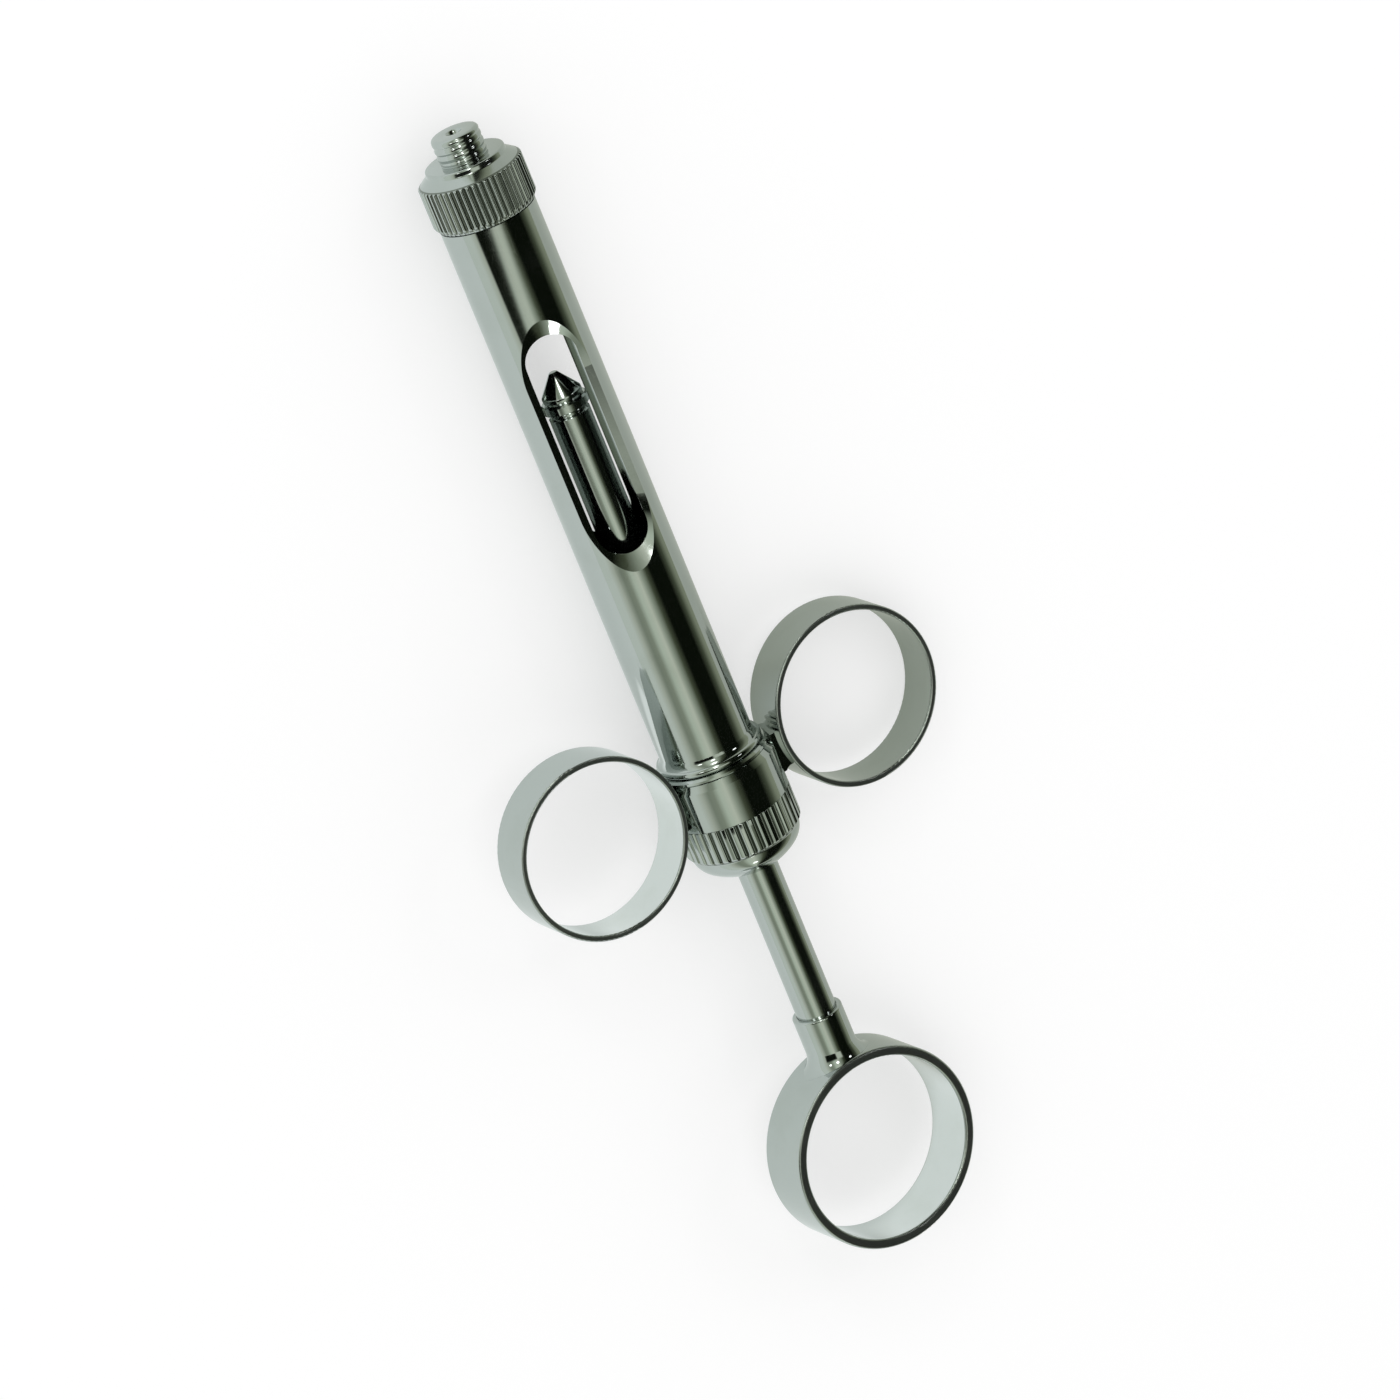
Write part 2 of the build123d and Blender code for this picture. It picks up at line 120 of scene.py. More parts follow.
# Harpoon on the piston head
SHANK_R = 1.0
SHANK_REAR = 41.55
PISTON_FRONT = 47.45
HARPOON_NECK_R = 2.0
HARPOON_BASE = 47.65
HARPOON_R = 2.3
HARPOON_RIM = 0.5
HARPOON_TIP_R = 0.45
HARPOON_TIP = 50.65
HARPOON_SECTORS = 8

# Steps of the turned meshes
ARC_STEPS = 4
SWELL_STEPS = 10
FLUTE_STEPS = 10
SHARP_ANGLE = radians(50)

# Metal colours
CHROME = (0.50, 0.535, 0.515, 1.0)
STEEL = (0.42, 0.42, 0.41, 1.0)
BRASS = (0.72, 0.53, 0.24, 1.0)
BRASS_STAIN = (0.45, 0.32, 0.15, 1.0)
# Colour laid in the bottoms of the knurl grooves, darker than the chrome
GROOVE_DARK = (0.12, 0.135, 0.105, 1.0)
TARNISH = (0.86, 0.87, 0.83)

# Rubber colours
RUBBER = (0.018, 0.018, 0.019, 1.0)
RUBBER_DUST = (0.07, 0.07, 0.065, 1.0)

# How closely marks lie on the metal, as repeats a metre across, along and up
TURNING_LINES = (180.0, 9000.0, 180.0)
BRASS_LINES = (300.0, 7000.0, 300.0)
SWELL = (140.0, 60.0, 140.0)
SCRATCHES = (900.0, 160.0, 900.0)
SCRATCH_WIDTH = 0.012

# Repeats a metre of marks that lie alike in every direction
SMEARS = 170.0
BRASS_STAINS = 260.0
RUBBER_GRAIN = 2600.0
RUBBER_DUSTING = 420.0

# The part of a noise's values over which a patch fades in
SMEAR_FADE = (0.47, 0.75)
STAIN_FADE = (0.42, 0.7)
DUST_FADE = (0.5, 0.72)

# Brass and rubber: how rough they are clean, and what a stain or dust adds
BRASS_ROUGHNESS = 0.24
STAIN_ROUGHNESS = 0.14
STAIN_SHARE = 0.6
RUBBER_ROUGHNESS = 0.42
DUST_ROUGHNESS = 0.25
DUST_SHARE = 0.35

# How much each mark roughens the chrome, and how high it stands
SMEAR_ROUGHNESS = 0.09
LINE_ROUGHNESS = 0.03
SCRATCH_ROUGHNESS = 0.03
SATIN_ROUGHNESS = 0.22
# How much rougher and how strongly darkened the knurl grooves' bottoms are, how far up the groove that
# reaches, and how far below the bottom it fades in
GROOVE_DARK_ROUGHNESS = 0.2
GROOVE_DARK_SHARE = 0.85
GROOVE_DARK_DEPTH = 0.7
GROOVE_DARK_SKIN = (0.1, 0.02)
SMEAR_TARNISH = 0.5
LINE_RELIEF = 0.02
SWELL_RELIEF = 0.6
SCRATCH_RELIEF = 0.004
METAL_BUMP = {"Strength": 0.35, "Distance": 0.00004}
BRASS_BUMP = {"Strength": 0.4, "Distance": 0.00003}
RUBBER_BUMP = {"Strength": 0.3, "Distance": 0.00004}

# Table: its matt colours, and the painted shade that the metal mirrors from left to right, darkening
# towards the right
TABLE_HALF = 6.0
TABLE_WHITE = 0.97
TABLE_MATT = (0.86, 0.90, 0.89, 1.0)
PAINTED_SHADE_LEFT = (0.82, 0.88, 0.86, 1.0)
PAINTED_SHADE_MIDDLE = (0.42, 0.45, 0.36, 1.0)
PAINTED_SHADE_RIGHT = (0.33, 0.36, 0.28, 1.0)
# A painted pool of light that the metal mirrors on the table inside each ring: its colour here, and its
# radii and core below
PAINTED_LIGHT_POOL = (1.5, 1.55, 1.55, 1.0)
LEFT_TO_MIDDLE = (-4.0, 8.0)
MIDDLE_TO_RIGHT = (12.0, 45.0)
RING_POOL_R = 9.5
THUMB_POOL_R = 10.5
POOL_CORE = 0.7
TABLE_GLOW = 1.04
GLOW_SHARE = 0.45
MIRRORED_SHARE = 0.6

# Cards round the syringe, each at its bearing in degrees to the right of straight up
CARDS = (
    (-110, (0.74, 0.81, 0.76)),
    (-72, (0.76, 0.82, 0.76)),
    (-60, (0.60, 0.64, 0.55)),
    (-48, (0.30, 0.34, 0.27)),
    (-38, (0.34, 0.38, 0.30)),
    (-27, (0.66, 0.74, 0.62)),
    (-14, (0.76, 0.80, 0.68)),
    (-4, (0.42, 0.47, 0.38)),
    (8, (0.085, 0.10, 0.062)),
    (20, (0.004, 0.006, 0.003)),
    (55, (0.004, 0.006, 0.003)),
    (68, (0.085, 0.10, 0.065)),
    (80, (0.29, 0.32, 0.235)),
    (100, (0.44, 0.48, 0.36)),
    (126, (0.58, 0.62, 0.55)),
)

# The dark flag over the needle end, whose right edge slants, and the pale gap beside it
FLAG_DARK = (0.004, 0.006, 0.003, 1.0)
GAP_PALE = (0.72, 0.77, 0.66, 1.0)
GAP_SHARE = 0.9
FLAG_LEFT = (-60, -54)
FLAG_RIGHT = (-4.0, 0.0)
FLAG_CORNER = -10.0
FLAG_CORNER_ALONG = -0.285
FLAG_SLANT = 866.7
FLAG_FARTHEST_RIGHT = -9.0
FLAG_REAR = (-0.335, -0.318)
FLAG_FRONT = (0.05, 0.25)
GAP_LEFT = (-1.0, 3.0)
GAP_RIGHT = (19.0, 25.0)
ROOM_LIGHT = 0.92

# Camera: its axes, its place in millimetres and its lens
CAMERA_RIGHT = (0.85984711, -0.35385202, 0.36803762)
CAMERA_DOWN = (-0.45517804, -0.85781283, 0.23868409)
CAMERA_FORWARD = (0.23124854, -0.37275447, -0.89865356)
CAMERA_PLACE = (-160.368, 259.224, 633.498)
CAMERA_SENSOR = 36.0
CAMERA_LENS = 160.78

# Small round lamps that glint on edges: place and aim in metres, width in metres, watts
LAMPS = {
    "near_lamp": ((-0.17, 0.26, 0.66), (0, 0, 0), 0.12, 0.2),
    "front_lamp": ((-0.09, 0.53, 0.37), (0, 0.05, 0), 0.12, 0.16),
    "left_lamp": ((-0.41, 0.22, 0.40), (0, 0.02, 0), 0.10, 0.07),
    "right_lamp": ((0.38, 0.18, 0.43), (0, 0.02, 0), 0.10, 0.07),
    "tail_lamp": ((-0.07, -0.57, 0.30), (0, -0.03, 0), 0.08, 0.05),
}


class Shade:
    """A socket whose arithmetic adds Math nodes to its tree."""

    def __init__(self, recipe, node, output=0):
        self.recipe = recipe
        self.node = node
        self.socket = node.outputs[output] if node.outputs else None

    def out(self, output):
        """Another output of the same node."""
        return Shade(self.recipe, self.node, output)

    def __add__(self, other):
        return self.recipe.maths("ADD", self, other)

    def __radd__(self, other):
        return self.recipe.maths("ADD", other, self)

    def __sub__(self, other):
        return self.recipe.maths("SUBTRACT", self, other)

    def __rsub__(self, other):
        return self.recipe.maths("SUBTRACT", other, self)

    def __mul__(self, other):
        return self.recipe.maths("MULTIPLY", self, other)

    def __rmul__(self, other):
        return self.recipe.maths("MULTIPLY", other, self)

    def __truediv__(self, other):
        return self.recipe.maths("DIVIDE", self, other)

    def __rtruediv__(self, other):
        return self.recipe.maths("DIVIDE", other, self)

    def __pow__(self, other):
        return self.recipe.maths("POWER", self, other)

    def __rpow__(self, other):
        return self.recipe.maths("POWER", other, self)

    def __abs__(self):
        return self.recipe.maths("ABSOLUTE", self)


class Recipe:
    """The node tree of one finish or of the room."""

    def __init__(self, owner):
        owner.use_nodes = True
        self.tree = owner.node_tree
        self.tree.nodes.clear()

    def add(self, kind, settings=None, sockets=None, output=0):
        """A node of any kind, with its settings set first and then its sockets' values or links."""
        node = self.tree.nodes.new("ShaderNode" + kind)
        for name, value in (settings or {}).items():
            if name == "stops":
                while len(node.color_ramp.elements) < len(value):
                    node.color_ramp.elements.new(1.0)
                for element, (place, colour) in zip(node.color_ramp.elements, value):
                    element.position = place
                    element.color = (*colour, 1.0)
            else:
                setattr(node, name, value)
        for name, value in (sockets or {}).items():
            if isinstance(value, Shade):
                self.tree.links.new(value.socket, node.inputs[name])
            else:
                node.inputs[name].default_value = value
        return Shade(self, node, output)

    def maths(self, operation, *values):
        return self.add("Math", {"operation": operation}, dict(enumerate(values)))

    def blend(self, share, first, second):
        return self.add("Mix", {"data_type": "RGBA"}, {0: share, 6: first, 7: second}, output=2)

    def scaled(self, point, factors):
        return self.add("VectorMath", {"operation": "MULTIPLY"}, {0: point, 1: factors})

    def noise(self, point, scale, detail):
        return self.add("TexNoise", {}, {"Vector": point, "Scale": scale, "Detail": detail}, "Fac")

    def step(self, value, low, high):
        """A smooth rise from 0 at low to 1 at high."""
        settings = {"interpolation_type": "SMOOTHSTEP"}
        return self.add("MapRange", settings, {"Value": value, "From Min": low, "From Max": high})

    def surface(self, shader):
        self.add("OutputMaterial", {}, {"Surface": shader})


def grey(level):
    return (level, level, level, 1.0)


# Finishes


def chrome_finish(
    name, colour=CHROME, turned=0.35, ripple=0.25, polish=0.045, smear=0.6, satin=None, darkening=None
):
    """Polished chrome with turning lines, hand smears and small scratches.

    satin(recipe, place) says where the edges are dulled, and darkening(recipe, place) where the metal is
    made darker and rougher.
    """
    material = bpy.data.materials.new(name)
    recipe = Recipe(material)
    place = recipe.add("TexCoord", output="Object")
    lines = recipe.noise(recipe.scaled(place, TURNING_LINES), 1.0, 3.0)
    swell = recipe.noise(recipe.scaled(place, SWELL), 1.0, 1.0)
    smears = recipe.step(recipe.noise(place, SMEARS, 5.0), *SMEAR_FADE)
    cracks = recipe.add(
        "TexVoronoi",
        {"feature": "DISTANCE_TO_EDGE"},
        {"Vector": recipe.scaled(place, SCRATCHES), "Scale": 1.0},
    )
    scratches = 1.0 - recipe.step(cracks, 0.0, SCRATCH_WIDTH)
    roughness = (
        polish + smears * (SMEAR_ROUGHNESS * smear) + lines * LINE_ROUGHNESS + scratches * SCRATCH_ROUGHNESS
    )
    tarnished = tuple(c * t for c, t in zip(colour, TARNISH)) + (1.0,)
    tint = recipe.blend(smears * (SMEAR_TARNISH * smear), colour, tarnished)
    if satin:
        roughness = roughness + satin(recipe, place) * SATIN_ROUGHNESS
    if darkening:
        # The knurl grooves' bottoms are made darker and rougher
        darkened = darkening(recipe, place)
        tint = recipe.blend(darkened, tint, GROOVE_DARK)
        roughness = roughness + darkened * GROOVE_DARK_ROUGHNESS
    relief = lines * (turned * LINE_RELIEF) + swell * (ripple * SWELL_RELIEF) - scratches * SCRATCH_RELIEF
    bump = recipe.add("Bump", {}, {**METAL_BUMP, "Height": relief})
    metal = recipe.add(
        "BsdfPrincipled",
        {},
        {"Base Color": tint, "Metallic": 1.0, "Roughness": roughness, "Normal": bump},
    )
    recipe.surface(metal)
    return material


def from_axis(recipe, place):
    """How far a point is to the right of the syringe's axis and above it, in metres."""
    parts = recipe.add("SeparateXYZ", {}, {0: place})
    return parts.out("X") - AXIS_X * MM, parts.out("Z") - AXIS_Z * MM


def band_rims(turn, half_depth):
    """A mask for the two narrow rims of a ring's band."""

    def mask(recipe, place):
        sideways, height = from_axis(recipe, place)
        depth = abs(sideways * sin(turn) + height * cos(turn))
        return recipe.step(depth, (half_depth - RIM_INNER) * MM, (half_depth - RIM_OUTER) * MM)

    return mask


def groove_darkening(outer_r, flute_depth):
    """A mask for the bottoms of a knurl's grooves, where the metal is made darker, and for nothing inside
    the piece.
    """
    bottom = outer_r - flute_depth
    clean = bottom + GROOVE_DARK_DEPTH * flute_depth
    skin = [bottom - below for below in GROOVE_DARK_SKIN]

    def mask(recipe, place):
        sideways, height = from_axis(recipe, place)
        radius = (sideways * sideways + height * height) ** 0.5
        deep = 1.0 - recipe.step(radius, bottom * MM, clean * MM)
        return deep * recipe.step(radius, skin[0] * MM, skin[1] * MM) * GROOVE_DARK_SHARE

    return mask


def brass_finish():
    """Turned brass with tarnished tool lines."""
    material = bpy.data.materials.new("bush_brass")
    recipe = Recipe(material)
    place = recipe.add("TexCoord", output="Object")
    lines = recipe.noise(recipe.scaled(place, BRASS_LINES), 1.0, 3.0)
    stain = recipe.step(recipe.noise(place, BRASS_STAINS, 4.0), *STAIN_FADE)
    tint = recipe.blend(stain * STAIN_SHARE, BRASS, BRASS_STAIN)
    roughness = BRASS_ROUGHNESS + stain * STAIN_ROUGHNESS
    bump = recipe.add("Bump", {}, {**BRASS_BUMP, "Height": lines})
    brass = recipe.add(
        "BsdfPrincipled",
        {},
        {"Base Color": tint, "Metallic": 1.0, "Roughness": roughness, "Normal": bump},
    )
    recipe.surface(brass)
    return material


def rubber_finish():
    """Black rubber with a greasy, slightly dusty skin."""
    material = bpy.data.materials.new("ring_rubber")
    recipe = Recipe(material)
    place = recipe.add("TexCoord", output="Object")
    grain = recipe.noise(place, RUBBER_GRAIN, 3.0)
    dust = recipe.step(recipe.noise(place, RUBBER_DUSTING, 4.0), *DUST_FADE)
    tint = recipe.blend(dust * DUST_SHARE, RUBBER, RUBBER_DUST)
    roughness = RUBBER_ROUGHNESS + dust * DUST_ROUGHNESS
    bump = recipe.add("Bump", {}, {**RUBBER_BUMP, "Height": grain})
    rubber = recipe.add(
        "BsdfPrincipled", {}, {"Base Color": tint, "Roughness": roughness, "Normal": bump}
    )
    recipe.surface(rubber)
    return material


def table_finish():
    """A pale table: white to the camera, with the syringe's shadow; in the metal it shows painted shade
    that darkens towards the right and painted pools of light inside the rings.
    """
    material = bpy.data.materials.new("table_white")
    recipe = Recipe(material)
    spot = recipe.add("NewGeometry", output="Position")
    parts = recipe.add("SeparateXYZ", {}, {0: spot})
    across, along = parts.out("X"), parts.out("Y")

    def across_from(low, high):
        return recipe.step(across, low * MM, high * MM)

    def painted_pool(centre_x, centre_y, radius):
        """A painted pool of light on the table inside a ring, which only the metal mirrors."""
        aside = across - centre_x * MM
        ahead = along - centre_y * MM
        core = (POOL_CORE * radius * MM) ** 2
        return 1.0 - recipe.step(aside * aside + ahead * ahead, core, (radius * MM) ** 2)

    # Painted shade: the table that the metal mirrors darkens from left to right
    shade_left_half = recipe.blend(across_from(*LEFT_TO_MIDDLE), PAINTED_SHADE_LEFT, PAINTED_SHADE_MIDDLE)
    painted_shade = recipe.blend(across_from(*MIDDLE_TO_RIGHT), shade_left_half, PAINTED_SHADE_RIGHT)
    left_ring_x = AXIS_X - LEFT_RING_REACH * cos(ROLL)
    # Painted pools of light inside the left finger ring and the thumb ring
    painted_pools = painted_pool(left_ring_x, AXIS_Y, RING_POOL_R) + painted_pool(AXIS_X, AXIS_Y + THUMB_STATION, THUMB_POOL_R)
    painted_shade_and_pools = recipe.blend(painted_pools, painted_shade, PAINTED_LIGHT_POOL)

    white = recipe.add("BsdfDiffuse", {}, {"Color": grey(TABLE_WHITE)})
    matt = recipe.add("BsdfDiffuse", {}, {"Color": TABLE_MATT})
    glow = recipe.add("Emission", {}, {"Color": grey(1.0), "Strength": TABLE_GLOW})
    # An emitting sheet that only the metal sees, carrying the painted shade and the painted pools of light
    painted_sheet = recipe.add("Emission", {}, {"Color": painted_shade_and_pools, "Strength": 1.0})
    mirrored = recipe.add("MixShader", {}, {0: MIRRORED_SHARE, 1: matt, 2: painted_sheet})
    shown = recipe.add("MixShader", {}, {0: GLOW_SHARE, 1: white, 2: glow})
    seen = recipe.add("LightPath")
    in_metal = recipe.add("MixShader", {}, {0: seen.out("Is Glossy Ray"), 1: matt, 2: mirrored})
    recipe.surface(recipe.add("MixShader", {}, {0: seen.out("Is Camera Ray"), 1: in_metal, 2: shown}))
    return material


def at_bearing(degrees):
    """A bearing as a share of the full turn, with straight up at a half."""
    return degrees / 360.0 + 0.5


def studio():
    """Even white light, with dark and pale cards round the syringe that only its metal shows."""
    world = bpy.data.worlds.new("studio")
    bpy.context.scene.world = world
    recipe = Recipe(world)
    way = recipe.add("TexCoord", output="Generated")
    parts = recipe.add("SeparateXYZ", {}, {0: way})
    across, along, up = parts.out("X"), parts.out("Y"), parts.out("Z")
    bearing = recipe.maths("ARCTAN2", across, up) / (2 * pi) + 0.5

    stops = [(at_bearing(degrees), colour) for degrees, colour in CARDS]
    cards = recipe.add("ValToRGB", {"stops": stops}, {0: bearing}, output="Color")

    slant = (along - FLAG_CORNER_ALONG) * FLAG_SLANT + FLAG_CORNER
    edge = recipe.maths("MINIMUM", slant, FLAG_FARTHEST_RIGHT)
    past_edge = (bearing - 0.5) * 360.0 - edge
    facing = recipe.step(along, *FLAG_REAR) * (1.0 - recipe.step(along, *FLAG_FRONT))
    from_left = recipe.step(bearing, *map(at_bearing, FLAG_LEFT))
    flag = from_left * (1.0 - recipe.step(past_edge, *FLAG_RIGHT)) * facing
    gap = recipe.step(past_edge, *GAP_LEFT) * (1.0 - recipe.step(past_edge, *GAP_RIGHT)) * facing
    flagged = recipe.blend(flag, cards, FLAG_DARK)
    mirrored = recipe.blend(gap * GAP_SHARE, flagged, GAP_PALE)

    seen = recipe.add("LightPath")
    lit = recipe.blend(seen.out("Is Glossy Ray"), grey(ROOM_LIGHT), mirrored)
    shown = recipe.blend(seen.out("Is Camera Ray"), lit, grey(1.0))
    glow = recipe.add("Background", {}, {"Color": shown, "Strength": 1.0})
    recipe.add("OutputWorld", {}, {"Surface": glow})


# Camera, lamps and table


def place_in_scene(name, data, matrix):
    thing = bpy.data.objects.new(name, data)
    thing.matrix_world = matrix
    bpy.context.scene.collection.objects.link(thing)
    return thing


def camera():
    axes = (Vector(CAMERA_RIGHT), -Vector(CAMERA_DOWN), -Vector(CAMERA_FORWARD))
    turn = Matrix(axes).transposed().to_4x4()
    turn.translation = Vector(CAMERA_PLACE) * MM
    lens = bpy.data.cameras.new("camera")
    lens.sensor_width = CAMERA_SENSOR
    lens.lens = CAMERA_LENS
    bpy.context.scene.camera = place_in_scene("camera", lens, turn)


def lamp(name, place, aim, width, watts):
    light = bpy.data.lights.new(name, "AREA")
    light.shape = "DISK"
    light.size = width
    light.energy = watts
    spot = Vector(place)
    turn = (Vector(aim) - spot).to_track_quat("-Z", "Y").to_matrix().to_4x4()
    place_in_scene(name, light, Matrix.Translation(spot) @ turn)


def table():
    mesh = bpy.data.meshes.new("table")
    half = TABLE_HALF
    corners = [(-half, -half, 0), (half, -half, 0), (half, half, 0), (-half, half, 0)]
    mesh.from_pydata(corners, [], [(0, 1, 2, 3)])
    mesh.materials.append(table_finish())
    place_in_scene("table", mesh, Matrix.Identity(4))


# Turned pieces, with knurls, a thread and edges too fine for the CAD


def rounded(corners):
    """A closed outline from (radius, station, rounding) corners, each rounding a short arc."""
    outline = []
    for index, (radius, station, rounding) in enumerate(corners):
        if not rounding:
            outline.append((radius, station))
            continue
        ends = []
        for other in (corners[index - 1], corners[(index + 1) % len(corners)]):
            share = rounding / hypot(other[0] - radius, other[1] - station)
            ends.append((radius + (other[0] - radius) * share, station + (other[1] - station) * share))
        pulls = (ends[0], (radius, station), ends[1])
        for step in range(ARC_STEPS + 1):
            t = step / ARC_STEPS
            weights = ((1 - t) ** 2, 2 * t * (1 - t), t**2)
            outline.append(tuple(sum(w * pull[k] for w, pull in zip(weights, pulls)) for k in (0, 1)))
    return outline


def groove(phase, half):
    """How deep a groove is at a share of the pitch from its middle, from 1 down to 0."""
    rise = 1.0 - min(abs(phase - round(phase)) / half, 1.0)
    return rise * rise * (3.0 - 2.0 * rise)


def turned_piece(name, corners, sectors, body, node, material, cut=None):
    """A closed mesh turned about the axis from rounded corners.

    cut(angle, station, radius) gives the radius that a knurl or thread leaves there.
    """
    steps = sectors * FLUTE_STEPS
    vertices = []
    hoops = []
    for radius, station in rounded(corners):
        hoop = []
        for spoke in range(steps if radius else 1):
            angle = 2 * pi * spoke / steps
            r = min(radius, cut(angle, station, radius)) if cut else radius
            hoop.append(len(vertices))
            point = (AXIS_X + r * sin(angle), AXIS_Y + station, AXIS_Z + r * cos(angle))
            vertices.append([c * MM for c in point])
        hoops.append(hoop if radius else hoop * steps)
    faces = []
    for index, hoop in enumerate(hoops):
        following = hoops[(index + 1) % len(hoops)]
        for spoke in range(steps):
            ahead = (spoke + 1) % steps
            face = dict.fromkeys((hoop[spoke], following[spoke], following[ahead], hoop[ahead]))
            if len(face) > 2:
                faces.append(tuple(face))
    mesh = bpy.data.meshes.new(name)
    mesh.from_pydata(vertices, [], faces)
    shape = bmesh.new()
    shape.from_mesh(mesh)
    bmesh.ops.recalc_face_normals(shape, faces=shape.faces)
    shape.to_mesh(mesh)
    shape.free()
    mesh.polygons.foreach_set("use_smooth", [True] * len(mesh.polygons))
    mesh.set_sharp_from_angle(angle=SHARP_ANGLE)
    mesh.materials.append(material)
    piece = place_in_scene(name, mesh, Matrix.Identity(4))
    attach(piece, body)
    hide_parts(node)


def needle_adapter(material):
    """The knurled cap with a coned shoulder, a low boss and the threaded stud."""
    thread_foot = BOSS_FRONT + THREAD_FOOT_GAP
    thread_end = STUD_TIP - THREAD_TIP_GAP
    rows = int((thread_end - thread_foot) / THREAD_ROW)
    thread = [(STUD_R, thread_foot + (thread_end - thread_foot) * row / rows, 0) for row in range(rows + 1)]
    corners = [
        (NEEDLE_BORE_R + NEEDLE_COUNTERSINK, STUD_TIP, RIM_ROUND),
        (NEEDLE_BORE_R, STUD_TIP - NEEDLE_COUNTERSINK, 0),
        (NEEDLE_BORE_R, CAP_INNER_FACE + NEEDLE_FUNNEL_R - NEEDLE_BORE_R, 0),
        (NEEDLE_FUNNEL_R, CAP_INNER_FACE, 0),
        (CAP_BORE_R, CAP_INNER_FACE, 0),
        (CAP_BORE_R, CAP_REAR, 0),
        (BARREL_R - CAP_SEAT_INSET, CAP_REAR, EDGE_ROUND),
        (CAP_R, CAP_REAR + CAP_REAR_BEVEL, CREST_ROUND),
        (CAP_R, CAP_FRONT - CAP_FRONT_BEVEL, EDGE_ROUND),
        (CAP_R - CAP_FRONT_INSET, CAP_FRONT, RIM_ROUND),
        (BOSS_R, BOSS_FOOT, EDGE_ROUND),
        (BOSS_R - BOSS_LEAN, BOSS_FRONT, BOSS_ROUND),
        (STUD_R - STUD_ROOT, BOSS_FRONT, EDGE_ROUND),
        *thread,
        (STUD_R - STUD_TIP_LEAN, STUD_TIP, STUD_TIP_ROUND),
    ]

    def cut(angle, station, radius):
        turns = angle / (2 * pi)
        if CAP_REAR < station < CAP_FRONT and radius > CAP_BORE_R:
            return CAP_R - CAP_FLUTE_DEPTH * groove(turns * CAP_FLUTES, CAP_FLUTE_HALF)
        if thread_foot <= station <= thread_end and radius > NEEDLE_FUNNEL_R:
            return STUD_R - THREAD_DEPTH * groove(station / THREAD_PITCH - turns, THREAD_HALF)
        return radius

    turned_piece(
        "adapter_turned", corners, CAP_FLUTES, "needle_adapter", "needle_adapter", material, cut
    )


def rear_nut(material):
    """The knurled nut, whose tail swells smoothly into its domed end."""
    nut_rear = NUT_DOME_CENTRE - sqrt(NUT_DOME_R**2 - NUT_MOUTH_R**2)
    hollow_rear = nut_rear + NUT_END_WALL
    dome_lean = atan2(NUT_DOME_START_R, sqrt(NUT_DOME_R**2 - NUT_DOME_START_R**2))
    mouth_lean = atan2(NUT_MOUTH_R, NUT_DOME_CENTRE - nut_rear)
    swell_r = NUT_R - NUT_BEVEL - NUT_SWELL_R
    swell_centre = NUT_KNURL_REAR - NUT_BEVEL
    tail = []
    for step in range(1, SWELL_STEPS):
        lean = (pi / 2 - dome_lean) * step / SWELL_STEPS
        tail.append((swell_r + NUT_SWELL_R * cos(lean), swell_centre - NUT_SWELL_R * sin(lean), 0))
    for step in range(SWELL_STEPS):
        lean = dome_lean + (mouth_lean - dome_lean) * step / SWELL_STEPS
        tail.append((NUT_DOME_R * sin(lean), NUT_DOME_CENTRE - NUT_DOME_R * cos(lean), 0))
    corners = [
        (NUT_ROD_HOLE_R, hollow_rear, 0),
        (NUT_HOLLOW_R, hollow_rear, 0),
        (NUT_HOLLOW_R, NUT_SPIGOT_FRONT, 0),
        (NUT_SPIGOT_R, NUT_SPIGOT_FRONT, EDGE_ROUND),
        (NUT_SPIGOT_R, NUT_FRONT, 0),
        (NUT_R, NUT_FRONT, EDGE_ROUND),
        (NUT_R, NUT_KNURL_REAR, CREST_ROUND),
        (NUT_R - NUT_BEVEL, swell_centre, CREST_ROUND),
        *tail,
        (NUT_MOUTH_R, nut_rear, CREST_ROUND),
        (NUT_ROD_HOLE_R, nut_rear + NUT_MOUTH_R - NUT_ROD_HOLE_R, EDGE_ROUND),
    ]

    def cut(angle, station, radius):
        if swell_centre < station <= NUT_FRONT and radius > NUT_SPIGOT_R:
            return NUT_R - NUT_FLUTE_DEPTH * groove(angle / (2 * pi) * NUT_FLUTES, NUT_FLUTE_HALF)
        return radius

    turned_piece("nut_turned", corners, NUT_FLUTES, "rear_nut", "rear_nut", material, cut)


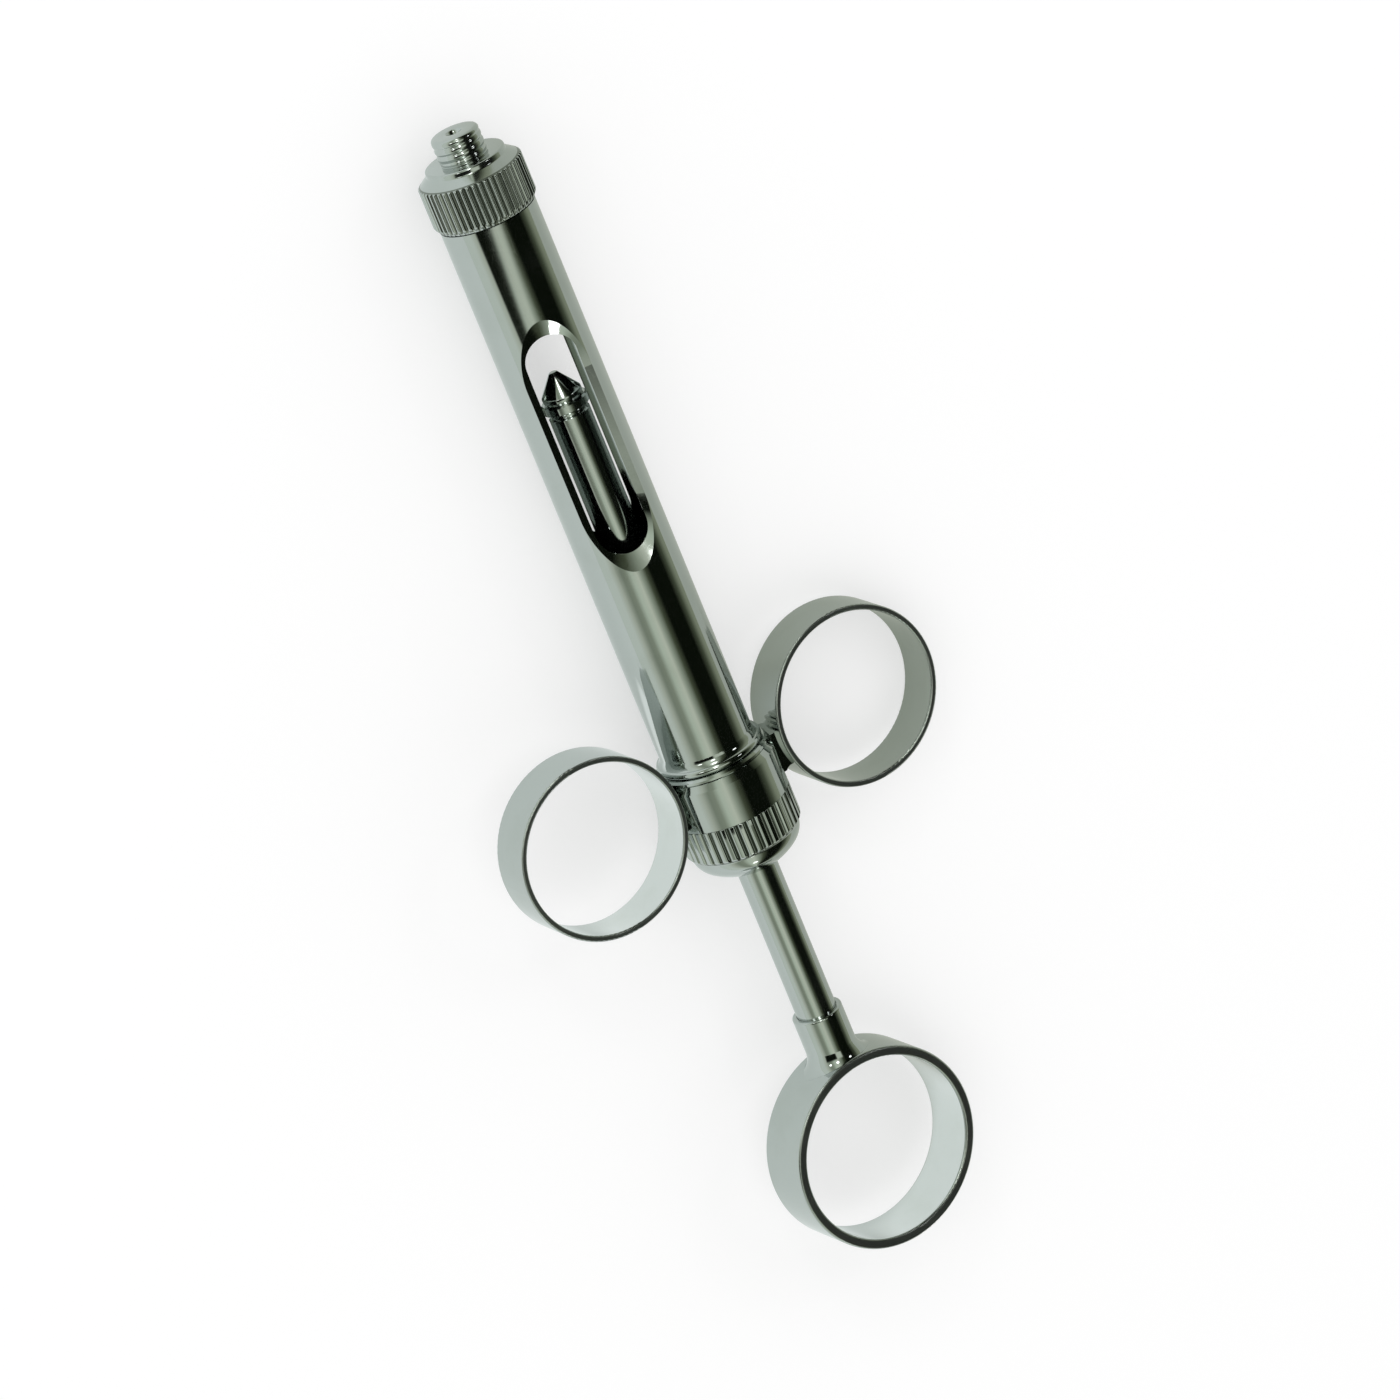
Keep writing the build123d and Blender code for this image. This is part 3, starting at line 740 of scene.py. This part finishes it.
def harpoon(material):
    """The barb, whose rim stands almost on the piston head, with its blunt tip."""
    corners = [
        (0, SHANK_REAR, 0),
        (SHANK_R, SHANK_REAR, 0),
        (SHANK_R, PISTON_FRONT, 0),
        (HARPOON_NECK_R, PISTON_FRONT, 0),
        (HARPOON_NECK_R, HARPOON_BASE, 0),
        (HARPOON_R, HARPOON_BASE, RIM_ROUND),
        (HARPOON_R, HARPOON_BASE + HARPOON_RIM, CREST_ROUND),
        (HARPOON_TIP_R, HARPOON_TIP, TIP_ROUND),
        (0, HARPOON_TIP, 0),
    ]
    turned_piece("harpoon_turned", corners, HARPOON_SECTORS, "plunger", "harpoon", material)


camera()
studio()
table()
for name, facts in LAMPS.items():
    lamp(name, *facts)

# Each node's finish
tube = chrome_finish("tube_chrome")
rod = chrome_finish("rod_ground", turned=0.8, ripple=0.12, polish=0.075, smear=0.4)
band = chrome_finish("band_chrome", ripple=0.45, satin=band_rims(ROLL, RING_HALF_DEPTH))
thumb_band = chrome_finish(
    "thumb_chrome", ripple=0.45, satin=band_rims(ROLL + THUMB_TURN, THUMB_HALF_DEPTH)
)
cap = chrome_finish("cap_chrome", turned=0.6, polish=0.09, darkening=groove_darkening(CAP_R, CAP_FLUTE_DEPTH))
nut = chrome_finish("nut_chrome", turned=0.5, polish=0.06, darkening=groove_darkening(NUT_R, NUT_FLUTE_DEPTH))
steel = chrome_finish("washer_steel", colour=STEEL, turned=1.2, polish=0.24)
finishes = {
    "barrel_tube": tube,
    "barrel_ferrule": tube,
    "finger_collar": tube,
    "left_finger_ring": band,
    "right_finger_ring": band,
    "needle_adapter": cap,
    "rear_nut": nut,
    "bush_retainer": steel,
    "guide_bush": brass_finish(),
    "rod_o_ring": rubber_finish(),
    "o_ring_washer": steel,
    "plunger_rod": rod,
    "piston_head": rod,
    "harpoon": rod,
    "thumb_socket": tube,
    "thumb_ring": thumb_band,
}
for node, finish in finishes.items():
    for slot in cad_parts[node].material_slots:
        slot.material = finish

needle_adapter(cap)
rear_nut(nut)
harpoon(rod)

bpy.context.scene.view_settings.view_transform = "Standard"
bpy.context.view_layer.update()
